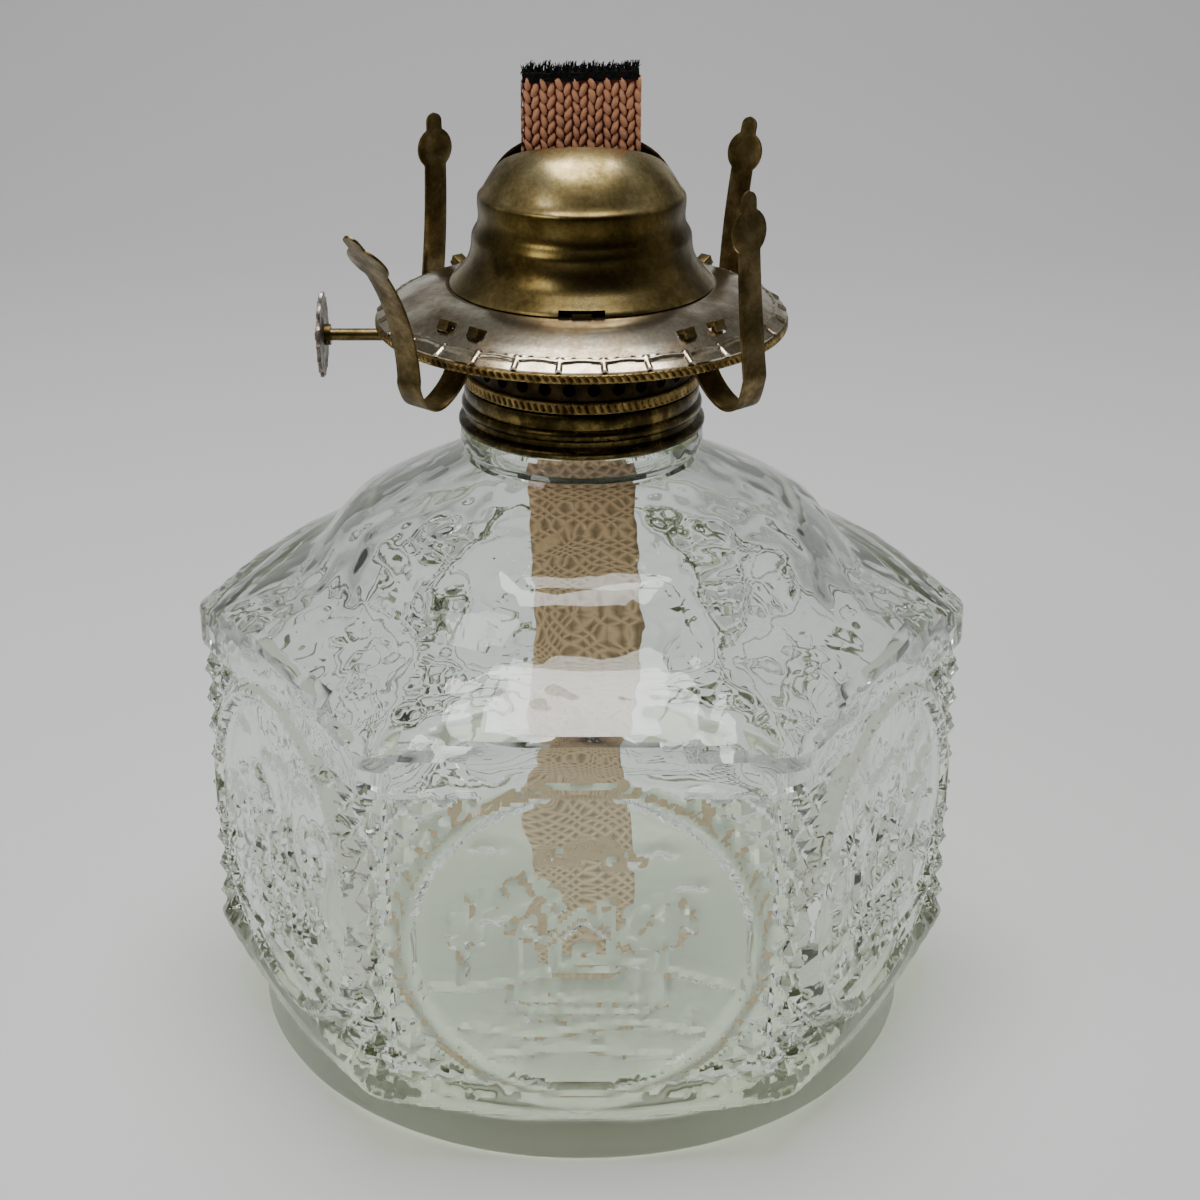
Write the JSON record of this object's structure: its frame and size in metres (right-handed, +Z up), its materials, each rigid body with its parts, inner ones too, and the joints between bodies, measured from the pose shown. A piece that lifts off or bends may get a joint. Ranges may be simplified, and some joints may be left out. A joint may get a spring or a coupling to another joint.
{
  "type": "oil lamp",
  "caption": "Oil lamp with a hexagonal pressed-glass font, screw collar, flat-wick burner with slotted dome, thumbwheel wick raiser and spring chimney prongs; no chimney.",
  "frame": {"origin": "centre of the glass foot on the surface the lamp stands on", "axes": "+Z up the lamp's axis, -X along the thumbwheel shaft, -Y out of a flat face of the font (its front)"},
  "size_m": [0.1568, 0.139, 0.1972],
  "materials": {
    "clear_glass": "clear pressed glass, polished",
    "collar_brass": "dark antique brass",
    "plaster": "matt plaster",
    "burner_brass": "aged brass",
    "gallery_nickel": "worn nickel plate over brass",
    "dome_brass": "aged satin brass",
    "prong_brass": "dull spring brass",
    "steel_wheel": "dull plated steel",
    "wick_cotton": "woven cotton tape",
    "char": "burnt cotton"
  },
  "bodies": {
    "font": {"glass_font": "clear_glass", "collar": "collar_brass", "collar_plaster": "plaster"},
    "burner": {"burner_base": "burner_brass", "air_drum": "burner_brass", "shaft_bush": "burner_brass", "air_distributor": "burner_brass", "gallery_plate": "gallery_nickel", "gallery_edge_ring": "burner_brass", "dome_catch": "burner_brass", "wick_tube": "burner_brass", "shaft_lug_left": "burner_brass", "shaft_lug_right": "burner_brass"},
    "dome": {"dome": "dome_brass"},
    "raiser": {"raiser_shaft": "burner_brass", "spur_wheel_left": "burner_brass", "spur_wheel_right": "burner_brass", "thumbwheel": "steel_wheel", "thumbwheel_hub": "burner_brass"},
    "wick": {"wick": "wick_cotton", "wick_char": "char", "wick_tail": "wick_cotton"},
    "prong_front_left": {"prong_front_left": "prong_brass"},
    "prong_front_right": {"prong_front_right": "prong_brass"},
    "prong_back_left": {"prong_back_left": "prong_brass"},
    "prong_back_right": {"prong_back_right": "prong_brass"}
  },
  "joints": [
    {"name": "burner_lift", "type": "slide", "parent": "font", "child": "burner", "axis": [0, 0, 1], "range_m": [0, 0.14]},
    {"name": "dome_lift", "type": "slide", "parent": "burner", "child": "dome", "axis": [0, 0, 1], "range_m": [0, 0.05]},
    {"name": "thumbwheel_turn", "type": "hinge", "parent": "burner", "child": "raiser", "pos_m": [0, 0.0056, 0.1435], "axis": [-1, 0, 0], "range_deg": [-230, 0]},
    {"name": "wick_raise", "type": "slide", "parent": "burner", "child": "wick", "axis": [0, 0, 1], "range_m": [-0.0164, 0], "deforming": ["wick_tail"]},
    {"name": "prong_front_left_flex", "type": "hinge", "parent": "burner", "child": "prong_front_left", "pos_m": [-0.02211, -0.02543, 0.1522], "axis": [0.7547, -0.6561, 0], "range_deg": [-3, 6], "stiffness_Nm_per_rad": 0.6},
    {"name": "prong_front_right_flex", "type": "hinge", "parent": "burner", "child": "prong_front_right", "pos_m": [0.02211, -0.02543, 0.1522], "axis": [0.7547, 0.6561, 0], "range_deg": [-3, 6], "stiffness_Nm_per_rad": 0.6},
    {"name": "prong_back_left_flex", "type": "hinge", "parent": "burner", "child": "prong_back_left", "pos_m": [-0.02211, 0.02543, 0.1522], "axis": [-0.7547, -0.6561, 0], "range_deg": [-3, 6], "stiffness_Nm_per_rad": 0.6},
    {"name": "prong_back_right_flex", "type": "hinge", "parent": "burner", "child": "prong_back_right", "pos_m": [0.02211, 0.02543, 0.1522], "axis": [-0.7547, 0.6561, 0], "range_deg": [-3, 6], "stiffness_Nm_per_rad": 0.6}
  ],
  "couplings": [
    {"joint": "thumbwheel_turn", "follows": "wick_raise", "rad_per_m": 243.9}
  ]
}
